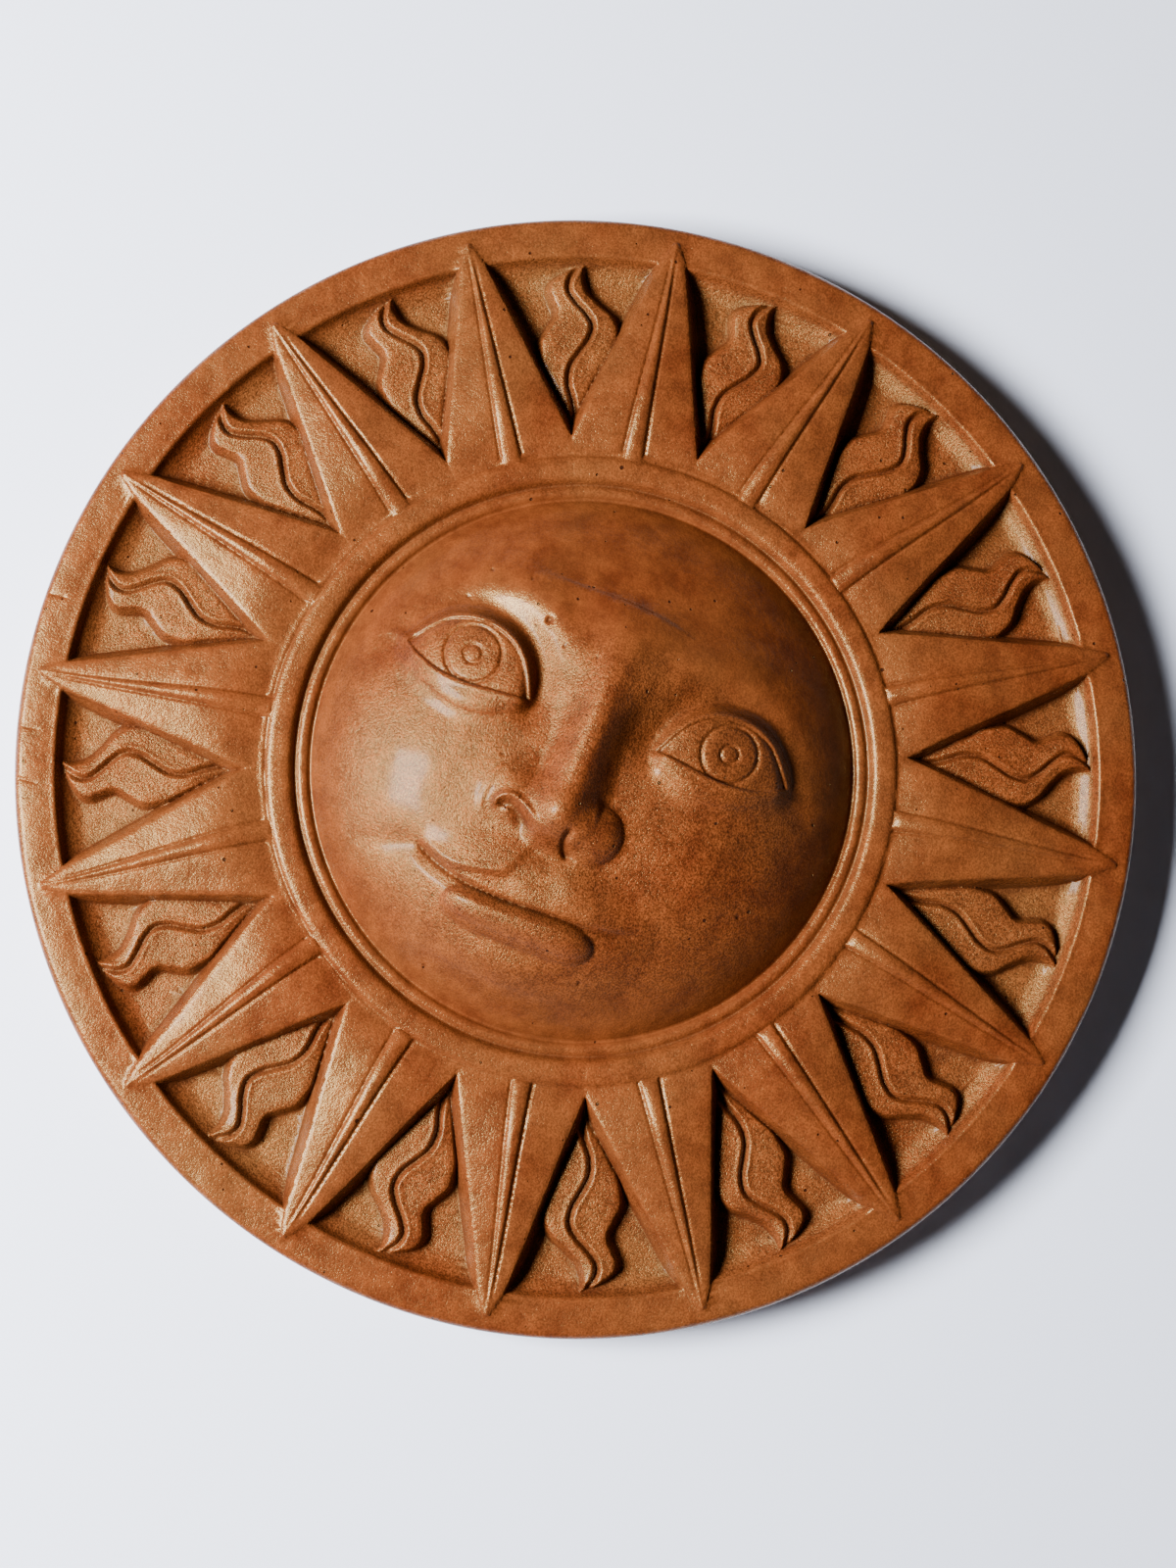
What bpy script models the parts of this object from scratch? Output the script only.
"""Round moulded clay wall plaque: a smiling sun face in a ring, ribbed rays and wavy flames.

Lengths are in metres. The relief is drawn lying on its flat back, with X to the right, Y to
the top of the plaque and Z out of the back. One empty then stands it upright, facing -Y, with
the middle of the flat back at the origin.
"""
import math

import bmesh
import bpy
import numpy as np

# The round plate and its rim
PLAQUE_RADIUS = 0.150
RIM_HEIGHT = 0.0200
RIM_WIDTH = 0.0106
RIM_EDGE_ROUNDING = 0.0022
BACK_CHAMFER = 0.0020
FIELD_HEIGHT = 0.0145
COVE_WIDTH = 0.0038
TURNING_STEPS = 80

# The flat ring round the face, with a thin bead inside it
RING_OUTER_RADIUS = 0.0842
RING_WIDTH = 0.0078
RING_HEIGHT = 0.0235
RING_SHOULDER_WIDTH = 0.0022
RING_EDGE_DROP = 0.0013
BEAD_WIDTH = 0.0036
BEAD_HEIGHT = 0.0211
GROOVE_HEIGHT = 0.0200

# The rays: they climb out of the ring's foot to a low crown and then fall to the rim. Between
# them lie sunken panels with one flame each. The whole star sits a little aside of the ring.
RAY_COUNT = 16
NOTCH_GAP = 0.0035
RAY_FOOT_HEIGHT = 0.0222
RAY_CROWN_HEIGHT = 0.0232
RAY_CROWN_GAP = 0.0090
RAY_RIM_HEIGHT = 0.0206
RAY_FACET_SLOPE = 0.12
RAY_FOOT_SLOPE = 0.04
RAY_WALL_LEAN = 0.36
RAY_TIP_INSET = 0.0039
RAY_TIP_HALF_WIDTH = 0.0007
RAY_CORNER_HALF_WIDTH = 0.0036
RIB_WIDTH = 0.0052
RIB_TIP_HALF_WIDTH = 0.0003
RIB_RISE = 0.0009
STAR_ASIDE = (-0.0017, 0.0008)
FLAME_HEIGHT = 0.0186
FLAME_GROOVE_DEPTH = 0.0013
FLAME_LIP = 0.0010
FLAME_WALL_SPREAD = 0.0024
FLAME_WALL_SHARE = 0.30
FLAME_LIP_SHARE = 0.15
FLAME_LEAN = math.radians(1.3)
FLAME_LEAN_SWING = math.radians(1.0)
FLAME_LEAN_TURN = math.radians(112.0)
ROOT_DEPTH = 0.0020

# The domed face
FACE_RISE = 0.0264
FACE_GRID = 128
FACE_DETAIL_KEPT = 0.085
FACE_ROOT = 0.0070

# The hanging pocket, pressed into the back near the top
POCKET_RADIUS = 0.0060
POCKET_DEPTH = 0.0100
POCKET_FROM_TOP = 0.0270
POCKET_SIDES = 24

CLAY_COLOUR = (0.397, 0.130, 0.028, 1.0)
CLAY_ROUGHNESS = 0.42

MERGE_DISTANCE = 0.00001

# The face is drawn in units, with this many from its middle to its edge, as it looks from a
# viewpoint at this distance, this far right of and above the middle. The drawing lies this
# far right of and above its place on the dome. All are in the same units.
FACE_UNITS = 72.8
VIEW_DISTANCE = 620.0
VIEW_ACROSS = -11.9
VIEW_UP = -60.4
DRAWN_ASIDE = (0.4, 1.4)
MIDLINE = -1.3

# Flames are drawn in shares of the panel: its length outwards, its half width sideways.
# Each line is: share of length, left foot, groove, right foot.
FLAME_SECTIONS = (
    (0.06, -0.03, 0.03, 0.09),
    (0.26, -0.25, -0.03, 0.22),
    (0.37, -0.34, -0.05, 0.35),
    (0.47, -0.42, 0.05, 0.48),
    (0.58, -0.43, 0.19, 0.55),
    (0.67, -0.28, 0.17, 0.51),
    (0.76, -0.33, 0.02, 0.34),
    (0.86, -0.36, -0.08, 0.15),
    (0.95, -0.19, -0.01, 0.14),
    (0.99, 0.06, 0.11, 0.15),
)

# Lines of one half of the face: distance from the midline, height on the face.
EYE_CREASE = (
    (16.8, 6.0), (16.2, 13.0), (17.6, 20.0), (21.4, 26.4), (27.0, 30.8), (33.0, 32.6),
    (39.5, 32.6), (45.6, 30.4), (51.2, 25.4), (55.4, 19.0), (58.5, 10.0),
)
UPPER_LID = ((18.4, 13.0), (23.6, 22.2), (32.0, 27.7), (42.0, 27.5), (50.8, 20.8), (54.5, 16.1))
LOWER_LID = ((18.4, 13.0), (28.0, 12.0), (36.5, 11.2), (46.0, 12.2), (54.5, 16.1))
POUCH = ((17.0, 11.0), (22.0, 8.4), (29.0, 5.2), (36.0, 4.6), (42.0, 5.8), (48.0, 8.6), (60.0, 16.0))

# The nose: height on the face with its half width, and with its rise.
NOSE_HALF_WIDTH = ((-24.0, 9.0), (-14.0, 11.5), (-6.0, 12.0), (8.0, 11.0), (22.0, 11.5), (48.0, 22.0))
NOSE_RISE = ((-21.0, 0.0), (-17.0, 5.2), (-12.0, 7.0), (-6.0, 6.5), (8.0, 5.0), (36.0, 2.0), (50.0, 0.0))

# Lines across the whole face: place across, height on the face.
WING_CURL = ((-18.0, -17.6), (-18.0, -14.2), (-15.0, -12.4), (-10.0, -14.0), (-6.4, -16.7))
WING_SLIT = ((5.4, -13.2), (3.4, -14.8), (2.5, -17.6), (3.3, -20.6), (5.8, -23.2))
MOUTH_LINE = ((-33.0, -33.2), (-27.0, -36.0), (-21.0, -37.6), (-8.0, -38.9), (14.0, -37.9), (31.0, -35.0))
LIP_EDGE = ((-33.0, -32.4), (-23.5, -35.2), (-10.0, -32.8), (-2.5, -34.0), (9.0, -35.0), (31.0, -34.6))
LIP_TROUGH = ((-4.4, -20.0), (-5.4, -24.0), (-7.2, -28.5), (-9.6, -32.6))
LINE_STEPS = 32


def clear_scene():
    for item in list(bpy.data.objects):
        bpy.data.objects.remove(item, do_unlink=True)


def make_collection(name):
    group = bpy.data.collections.new(name)
    bpy.context.scene.collection.children.link(group)
    return group


def make_object(name, bm, group):
    """A closed mesh object with its faces turned outwards, linked into a collection."""
    bmesh.ops.remove_doubles(bm, verts=bm.verts, dist=MERGE_DISTANCE)
    bmesh.ops.recalc_face_normals(bm, faces=bm.faces)
    mesh = bpy.data.meshes.new(name)
    bm.to_mesh(mesh)
    bm.free()
    item = bpy.data.objects.new(name, mesh)
    group.objects.link(item)
    return item


def as_former(item):
    """Marks an object that only shapes another one."""
    item.hide_render = True
    item.display_type = "WIRE"
    return item


def make_clay():
    clay = bpy.data.materials.new("fired_clay")
    clay.use_nodes = True
    shader = clay.node_tree.nodes["Principled BSDF"]
    shader.inputs["Base Color"].default_value = CLAY_COLOUR
    shader.inputs["Roughness"].default_value = CLAY_ROUGHNESS
    shader.inputs["Metallic"].default_value = 0.0
    return clay


def through(knots, at):
    """Smooth curve through knots, each a place and a value, read at the places asked for."""
    place, value = np.array(knots, dtype=float).T
    slope = np.gradient(value, place)
    at = np.clip(at, place[0], place[-1])
    left = np.clip(np.searchsorted(place, at) - 1, 0, len(place) - 2)
    gap = place[left + 1] - place[left]
    t = (at - place[left]) / gap
    start = (1 + 2 * t) * (1 - t) ** 2 * value[left] + t * (1 - t) ** 2 * gap * slope[left]
    end = t * t * (3 - 2 * t) * value[left + 1] + t * t * (t - 1) * gap * slope[left + 1]
    return start + end


def fade(low, high, value):
    """0 below low, 1 above high, with an eased slope between."""
    t = np.clip((value - low) / (high - low), 0.0, 1.0)
    return t * t * (3.0 - 2.0 * t)


def ridge(value, width):
    """Soft ridge, 1 where the value is nought."""
    return np.exp(-((value / width) ** 2))


def mound(x, y, centre, reach):
    """Soft oval mound, 1 in its middle."""
    return ridge(x - centre[0], reach[0]) * ridge(y - centre[1], reach[1])


def blister(x, y, centre, reach):
    """Oval dome with a firm edge, 1 in its middle and 0 outside its reach."""
    across = (x - centre[0]) / reach[0]
    along = (y - centre[1]) / reach[1]
    return np.clip(1.0 - across * across - along * along, 0.0, 1.0)


def merged(a, b, fillet):
    """The higher of two surfaces, with the line where they meet filled."""
    gap = np.clip(fillet - np.abs(a - b), 0.0, None) / fillet
    return np.maximum(a, b) + gap * gap * fillet * 0.25 * fade(0.0, fillet, np.minimum(a, b) * 2.0)


def beside(x, y, points):
    """Distance to a smooth line, positive on its left, and the share of the way along it."""
    share = np.linspace(0.0, 1.0, len(points))
    at = np.linspace(0.0, 1.0, LINE_STEPS)
    line = np.stack([through(list(zip(share, places)), at) for places in zip(*points)], axis=1)
    nearest, side, along = np.full(np.shape(x), 1e9), np.zeros(np.shape(x)), np.zeros(np.shape(x))
    for i, (a, b) in enumerate(zip(line, line[1:])):
        dx, dy = b - a
        t = np.clip(((x - a[0]) * dx + (y - a[1]) * dy) / (dx * dx + dy * dy), 0.0, 1.0)
        away = np.hypot(x - a[0] - t * dx, y - a[1] - t * dy)
        closer = away < nearest
        nearest = np.where(closer, away, nearest)
        side = np.where(closer, np.sign(dx * (y - a[1]) - dy * (x - a[0])), side)
        along = np.where(closer, (i + t) / (LINE_STEPS - 1), along)
    return nearest * side, along


def arc(centre, radii, start, end, steps):
    """Points of an oval arc in the turned profile, angles in degrees."""
    points = []
    for step in range(steps + 1):
        angle = math.radians(start + (end - start) * step / steps)
        points.append((centre[0] + radii[0] * math.cos(angle), centre[1] + radii[1] * math.sin(angle)))
    return points


def ring_inner_radius():
    return RING_OUTER_RADIUS - RING_WIDTH


def face_edge_radius():
    return ring_inner_radius() - BEAD_WIDTH


def rim_inner_radius():
    return PLAQUE_RADIUS - RIM_WIDTH


def field_radius():
    return rim_inner_radius() - COVE_WIDTH


def plate_profile():
    """Half section of the plate: bead, ring, sunken field, cove, rim, side and flat back."""
    bead_middle = ring_inner_radius() - BEAD_WIDTH / 2
    shoulder = ring_inner_radius() + RING_SHOULDER_WIDTH
    edge = (RING_OUTER_RADIUS - RING_SHOULDER_WIDTH, RING_HEIGHT - RING_EDGE_DROP)
    rim_edge = (PLAQUE_RADIUS - RIM_EDGE_ROUNDING, RIM_HEIGHT - RIM_EDGE_ROUNDING)
    points = [(0.0, GROOVE_HEIGHT)]
    bead_radii = (BEAD_WIDTH / 2, BEAD_HEIGHT - GROOVE_HEIGHT)
    shoulder_radii = (RING_SHOULDER_WIDTH, RING_HEIGHT - GROOVE_HEIGHT)
    points += arc((bead_middle, GROOVE_HEIGHT), bead_radii, 180, 0, 3)
    points += arc((shoulder, GROOVE_HEIGHT), shoulder_radii, 165, 90, 2)
    points += arc(edge, (RING_SHOULDER_WIDTH, RING_EDGE_DROP), 90, 0, 2)
    points += [(RING_OUTER_RADIUS, FIELD_HEIGHT)]
    cove_centre = (field_radius(), RIM_HEIGHT)
    points += arc(cove_centre, (COVE_WIDTH, RIM_HEIGHT - FIELD_HEIGHT), 270, 360, 2)
    points += arc(rim_edge, (RIM_EDGE_ROUNDING, RIM_EDGE_ROUNDING), 90, 0, 2)
    points += [(PLAQUE_RADIUS, BACK_CHAMFER), (PLAQUE_RADIUS - BACK_CHAMFER, 0.0), (0.0, 0.0)]
    return points


def make_plate(group):
    """The turned plate, from its half section spun round."""
    mesh = bpy.data.meshes.new("sun_plaque")
    points = [(radius, 0.0, height) for radius, height in plate_profile()]
    mesh.from_pydata(points, [(i, i + 1) for i in range(len(points) - 1)], [])
    plate = bpy.data.objects.new("sun_plaque", mesh)
    group.objects.link(plate)
    turn = plate.modifiers.new("turned", "SCREW")
    turn.angle = math.tau
    turn.steps = TURNING_STEPS
    turn.render_steps = TURNING_STEPS
    turn.use_merge_vertices = True
    turn.merge_threshold = MERGE_DISTANCE
    return plate


def loft(sections):
    """Closed body through cross sections that all have the same number of points."""
    bm = bmesh.new()
    rings = [[bm.verts.new(point) for point in section] for section in sections]
    count = len(rings[0])
    for first, second in zip(rings, rings[1:]):
        for i in range(count):
            after = (i + 1) % count
            bm.faces.new((first[i], first[after], second[after], second[i]))
    bm.faces.new(list(reversed(rings[0])))
    bm.faces.new(rings[-1])
    return bm


def half_pitch():
    """Angle from the middle of a ray to the middle of the next panel."""
    return math.pi / RAY_COUNT


def notch_radius():
    return RING_OUTER_RADIUS + NOTCH_GAP


def ray_half_width(reach):
    """Half width of a ray at its shoulders, at a distance from the plaque's middle."""
    notch = (notch_radius() * math.cos(half_pitch()), notch_radius() * math.sin(half_pitch()))
    corner = (rim_inner_radius(), RAY_CORNER_HALF_WIDTH)
    tip = (PLAQUE_RADIUS - RAY_TIP_INSET, RAY_TIP_HALF_WIDTH)
    if reach < corner[0]:
        return notch[1] + (corner[1] - notch[1]) * (reach - notch[0]) / (corner[0] - notch[0])
    return corner[1] + (tip[1] - corner[1]) * (reach - corner[0]) / (tip[0] - corner[0])


def ray_crown_radius():
    return RING_OUTER_RADIUS + RAY_CROWN_GAP


def ray_shoulder_height(reach):
    """Shoulders climb from the ring's foot to the crown and fall from there to the rim."""
    climb = fade(RING_OUTER_RADIUS, ray_crown_radius(), reach)
    fall = np.clip((reach - ray_crown_radius()) / (rim_inner_radius() - ray_crown_radius()), 0.0, 1.0)
    height = RAY_FOOT_HEIGHT + (RAY_CROWN_HEIGHT - RAY_FOOT_HEIGHT) * climb
    return height - (RAY_CROWN_HEIGHT - RAY_RIM_HEIGHT) * fall


def ray_section(reach):
    """Cross section of a ray: sloping walls, two facets and the rib along their crest."""
    tip = PLAQUE_RADIUS - RAY_TIP_INSET
    width = ray_half_width(reach)
    taper = (tip - reach) / (tip - RING_OUTER_RADIUS)
    rib = min(RIB_WIDTH / 2 * taper + RIB_TIP_HALF_WIDTH, width * 0.9)
    risen = fade(RING_OUTER_RADIUS, ray_crown_radius(), reach)
    slope = RAY_FOOT_SLOPE + (RAY_FACET_SLOPE - RAY_FOOT_SLOPE) * risen
    shoulder = ray_shoulder_height(reach)
    crest = shoulder + slope * (width - rib)
    foot = FIELD_HEIGHT - ROOT_DEPTH
    side = [
        (width + RAY_WALL_LEAN * (shoulder - foot), foot),
        (width, shoulder),
        (rib, crest),
        (rib / 2, crest + RIB_RISE * rib / (RIB_WIDTH / 2)),
    ]
    outline = [(-across, height) for across, height in side] + list(reversed(side))
    return [(across, reach, height) for across, height in outline]


def press_star(bm, turn):
    """Turns one ray or flame to its place, and shifts it by the star's share there."""
    for vert in bm.verts:
        x, y = vert.co.x, vert.co.y
        share = fade(rim_inner_radius(), notch_radius(), math.hypot(x, y))
        vert.co.x = x * math.cos(turn) + y * math.sin(turn) + STAR_ASIDE[0] * share
        vert.co.y = y * math.cos(turn) - x * math.sin(turn) + STAR_ASIDE[1] * share


def make_rays(group):
    """One loft for each ray, half a pitch beside the panels."""
    notch = notch_radius() * math.cos(half_pitch())
    inside = RING_OUTER_RADIUS - RING_WIDTH / 2
    stations = (inside, notch, ray_crown_radius(), rim_inner_radius(), PLAQUE_RADIUS - RAY_TIP_INSET)
    for index in range(RAY_COUNT):
        bm = loft([ray_section(reach) for reach in stations])
        press_star(bm, (2 * index + 1) * half_pitch())
        as_former(make_object("ray", bm, group))


def panel_half_width():
    """Half width of a panel where it meets the rim."""
    corner_angle = half_pitch() - math.atan2(RAY_CORNER_HALF_WIDTH, rim_inner_radius())
    return rim_inner_radius() * math.sin(corner_angle)


def flame_section(share, left, groove, right):
    """Cross section of a flame: sloping walls and a grooved top, in the panel's shares."""
    reach = notch_radius() + share * (rim_inner_radius() - notch_radius())
    unit = panel_half_width()
    room = (right - left) * unit
    wall = min(FLAME_WALL_SPREAD, room * FLAME_WALL_SHARE)
    lip = min(FLAME_LIP, room * FLAME_LIP_SHARE)
    top = FIELD_HEIGHT + (FLAME_HEIGHT - FIELD_HEIGHT) * fade(-0.35, 0.3, share)
    foot = FIELD_HEIGHT - ROOT_DEPTH
    left, groove, right = left * unit, groove * unit, right * unit
    outline = [
        (left - wall * 0.4, foot),
        (left + wall, top - lip * 0.4),
        (min(groove - lip, right - wall - lip * 2), top),
        (min(groove, right - wall - lip), top - FLAME_GROOVE_DEPTH),
        (min(groove + lip, right - wall - lip * 0.5), top),
        (right - wall, top - lip * 0.4),
        (right + wall * 0.4, foot),
    ]
    return [(across, reach, height) for across, height in outline]


def make_flames(group):
    """One flame loft for each panel, each leaning a little, as pressed by hand."""
    for index in range(RAY_COUNT):
        turn = index * 2 * half_pitch()
        lean = FLAME_LEAN + FLAME_LEAN_SWING * math.cos(turn + FLAME_LEAN_TURN)
        bm = loft([flame_section(*section) for section in FLAME_SECTIONS])
        for vert in bm.verts:
            vert.co.x += (vert.co.y - notch_radius()) * math.tan(lean)
        press_star(bm, turn)
        as_former(make_object("flame", bm, group))


def dome_relief(x, y):
    """The bare dome, steep at its edge, and on past the edge so that its foot is buried."""
    share = np.hypot(x, y) / FACE_UNITS
    inside = np.clip(share, 0.0, 1.0)
    rise = FACE_RISE / face_edge_radius() * FACE_UNITS
    return rise * (1.0 - inside ** 2.5) ** 0.63 - 60.0 * np.clip(share - 1.0, 0.0, None)


def socket_relief(side, y, above):
    """Valley over the eye, running down beside the nose, and the brow beyond it."""
    valley = -2.4 * fade(3.0, 16.0, y) * (0.45 + 0.55 * fade(52.0, 28.0, side))
    brow = 2.0 * fade(4.0, 22.0, y) * fade(50.0, 20.0, side) * fade(2.0, 12.0, side)
    return valley * ridge(above, np.where(above < 0, 4.2, 3.2)) + brow * ridge(above + 8.6, 4.6)


def eye_relief(side, y, above):
    """Mound of the eye, the opening between two thick lids, and the ball set in it."""
    under = y - through(POUCH, side)
    ends = fade(13.5, 20.5, side) * fade(63.0, 52.0, side)
    swell = 2.9 * fade(-0.5, 5.4, above) * fade(-4.5, 5.0, under) * ends
    upper = through(UPPER_LID, side) - y
    lower = y - through(LOWER_LID, side)
    across = fade(16.8, 19.0, side) * fade(56.6, 54.0, side)
    inside = np.minimum(upper, lower)
    opening = -1.5 * fade(-0.8, 0.9, inside)
    ball = 1.2 * blister(side, y, (36.6, 19.0), (19.0, 11.5)) * fade(0.0, 1.2, inside)
    lids = 0.7 * ridge(upper + 1.6, 1.3) + 0.4 * ridge(lower + 1.4, 1.2)
    return swell + (opening + ball + lids) * across


def nose_relief(x, y):
    """Long crest that widens to a round tip, the curled left wing and the closed right one."""
    across = np.abs(x - MIDLINE - 0.6) / through(NOSE_HALF_WIDTH, y)
    crest = through(NOSE_RISE, y) * (1.0 - fade(0.06, 1.0, across))
    tip = 7.4 * blister(x, y, (-1.9, -11.6), (9.4, 11.2))
    wing = 3.2 * mound(x, y, (-13.2, -11.8), (7.8, 7.6)) * fade(-25.0, -15.0, y)
    from_curl, along = beside(x, y, WING_CURL)
    curl = 1.3 * ridge(from_curl, 1.3) - 1.4 * ridge(from_curl + 2.8, 1.7) * fade(-22.5, -18.0, y)
    curl = curl * fade(0.0, 0.2, along) * fade(1.0, 0.75, along)
    body = merged(merged(crest, tip, 4.0), wing, 6.0) + curl
    ball = (4.9 - 0.16 * (x - 9.0)) * np.sqrt(blister(x, y, (9.8, -14.2), (7.9, 8.3)))
    from_slit, along = beside(x, y, WING_SLIT)
    slit = 2.0 * ridge(from_slit, 1.3) * fade(0.0, 0.25, along) * fade(1.0, 0.85, along)
    return merged(body, ball, 3.0) - slit


def mouth_relief(x, y):
    """Smiling mouth: an overhanging skin edge, one deep line and a full lower lip."""
    across = fade(-34.5, -30.0, x) * fade(33.0, 24.0, x)
    under = through(LIP_EDGE, x) - y
    gap = through(MOUTH_LINE, x) - y
    upper = -1.0 * fade(-0.8, 1.0, under) * fade(4.5, 1.0, gap) * (0.3 + 0.7 * fade(2.0, -10.0, x))
    parting = -1.0 * ridge(gap, 1.0)
    fullness = 1.0 - np.abs((x + 1.0) / 21.4) ** 4 - np.abs((y + 43.7) / 5.7) ** 2.2
    roll = 0.6 * fade(-0.4, 1.2, gap) + 0.4 * fade(-0.4, 3.6, gap)
    return (upper + parting) * across + 3.7 * np.clip(fullness, 0.0, 1.0) ** 0.55 * roll


def flesh_relief(x, y):
    """Cheeks, the fullness about the mouth, the chin, the fold and the dip above the lip."""
    side = np.abs(x - MIDLINE)
    cheeks = 4.0 * mound(side, y, (43.0, -13.0), (16.0, 15.0))
    fullness = 3.2 * fade(1.15, 0.5, np.hypot((x - MIDLINE) / 35.0, (y + 42.0) / 21.0))
    chin = 2.2 * mound(x, y, (MIDLINE, -59.0), (18.0, 6.5))
    from_edge, _ = beside(x, y, LIP_TROUGH)
    right = fade(8.0, 0.0, x + (y + 22.0) * 0.15) * fade(-12.0, -8.0, x)
    dip = -1.1 * fade(-1.2, 1.8, from_edge) * right * fade(-17.0, -24.0, y) * fade(-35.0, -31.0, y)
    return cheeks + fullness + chin + dip


def forehead_relief(x, y):
    """Thin step over the bridge of the nose, with the forehead set back above it."""
    above = y - 47.6 + 0.006 * (x + 6.0) ** 2 * fade(-40.0, 20.0, x)
    step = -0.45 * fade(-0.6, 1.0, above) * fade(28.0, 8.0, np.abs(x + 6.0))
    return step - 0.5 * fade(-3.0, 6.0, y - 46.0)


def face_relief(x, y):
    """Height of the face above its edge at a place in face units."""
    dome = dome_relief(x, y)
    foot = (GROOVE_HEIGHT - RIM_HEIGHT) / face_edge_radius() * FACE_UNITS
    larger = VIEW_DISTANCE / (VIEW_DISTANCE - foot - np.clip(dome, 0.0, None))
    across = VIEW_ACROSS + DRAWN_ASIDE[0] + (x - VIEW_ACROSS) * larger
    up = VIEW_UP + DRAWN_ASIDE[1] + (y - VIEW_UP) * larger
    side = np.abs(across - MIDLINE)
    above = -beside(side, up, EYE_CREASE)[0]
    carving = socket_relief(side, up, above) + eye_relief(side, up, above) + nose_relief(across, up)
    carving = carving + mouth_relief(across, up) + flesh_relief(across, up) + forehead_relief(across, up)
    return dome + fade(1.0, 0.86, np.hypot(x, y) / FACE_UNITS) * carving


def place_face_grid(bm):
    """Rounds a square grid to a disc and lifts it to the face's relief."""
    unit = face_edge_radius() / FACE_UNITS
    reach = (face_edge_radius() + BEAD_WIDTH / 3) / unit
    flat = np.array([(vert.co.x, vert.co.y) for vert in bm.verts])
    x = reach * flat[:, 0] * np.sqrt(1.0 - flat[:, 1] ** 2 / 2.0)
    y = reach * flat[:, 1] * np.sqrt(1.0 - flat[:, 0] ** 2 / 2.0)
    height = face_relief(x, y)
    for vert, across, up, out in zip(bm.verts, x, y, height):
        vert.co = (across * unit, up * unit, GROOVE_HEIGHT + out * unit)


def make_face(group):
    """The domed face as a closed body: the relief, a buried skirt and a flat underside."""
    bm = bmesh.new()
    bmesh.ops.create_grid(bm, x_segments=FACE_GRID, y_segments=FACE_GRID, size=1.0)
    place_face_grid(bm)
    mesh = bpy.data.meshes.new("face")
    bm.to_mesh(mesh)
    bm.free()
    face = bpy.data.objects.new("face", mesh)
    group.objects.link(face)
    thin = face.modifiers.new("fewer_faces", "DECIMATE")
    thin.ratio = FACE_DETAIL_KEPT
    return as_former(close_below(face))


def close_below(face):
    """Takes the thinned relief, drops a skirt from its edge and closes it underneath."""
    bpy.context.view_layer.update()
    evaluated = face.evaluated_get(bpy.context.evaluated_depsgraph_get())
    bm = bmesh.new()
    bm.from_mesh(evaluated.to_mesh())
    evaluated.to_mesh_clear()
    edge = [item for item in bm.edges if item.is_boundary]
    skirt = bmesh.ops.extrude_edge_only(bm, edges=edge)["geom"]
    foot = GROOVE_HEIGHT - FACE_ROOT
    for vert in (item for item in skirt if isinstance(item, bmesh.types.BMVert)):
        vert.co.z = foot
    bmesh.ops.holes_fill(bm, edges=[item for item in bm.edges if item.is_boundary])
    bmesh.ops.recalc_face_normals(bm, faces=bm.faces)
    face.modifiers.clear()
    bm.to_mesh(face.data)
    bm.free()
    return face


def make_pocket(group):
    """Round pocket that a wall pin goes into, cut from the flat back."""
    bm = bmesh.new()
    overrun = POCKET_DEPTH / 4
    depth = POCKET_DEPTH + overrun
    bmesh.ops.create_cone(
        bm,
        cap_ends=True,
        segments=POCKET_SIDES,
        radius1=POCKET_RADIUS,
        radius2=POCKET_RADIUS,
        depth=depth,
    )
    pocket = as_former(make_object("hanging_pocket", bm, group))
    pocket.location = (0.0, PLAQUE_RADIUS - POCKET_FROM_TOP, POCKET_DEPTH - depth / 2)
    return pocket


def combine(target, name, operation, operand):
    """Joins an object, or all objects of a collection, to the target, or cuts them from it."""
    step = target.modifiers.new(name, "BOOLEAN")
    step.operation = operation
    step.solver = "EXACT"
    if isinstance(operand, bpy.types.Collection):
        step.operand_type = "COLLECTION"
        step.collection = operand
    else:
        step.object = operand


def stand_up(items):
    """Hangs every object on one empty that turns the lying relief upright."""
    stand = bpy.data.objects.new("upright", None)
    bpy.context.scene.collection.objects.link(stand)
    stand.rotation_euler.x = math.pi / 2
    for item in items:
        item.parent = stand


def main():
    clear_scene()
    parts = make_collection("decorative_wall_plaque")
    rays = make_collection("ray_formers")
    flames = make_collection("flame_formers")
    others = make_collection("face_and_pocket_formers")
    plate = make_plate(parts)
    plate.data.materials.append(make_clay())
    make_rays(rays)
    make_flames(flames)
    face = make_face(others)
    pocket = make_pocket(others)
    combine(plate, "flames", "UNION", flames)
    combine(plate, "rays", "UNION", rays)
    combine(plate, "face", "UNION", face)
    combine(plate, "pocket", "DIFFERENCE", pocket)
    stand_up([plate, face, pocket, *rays.objects, *flames.objects])
    bpy.context.view_layer.update()


main()
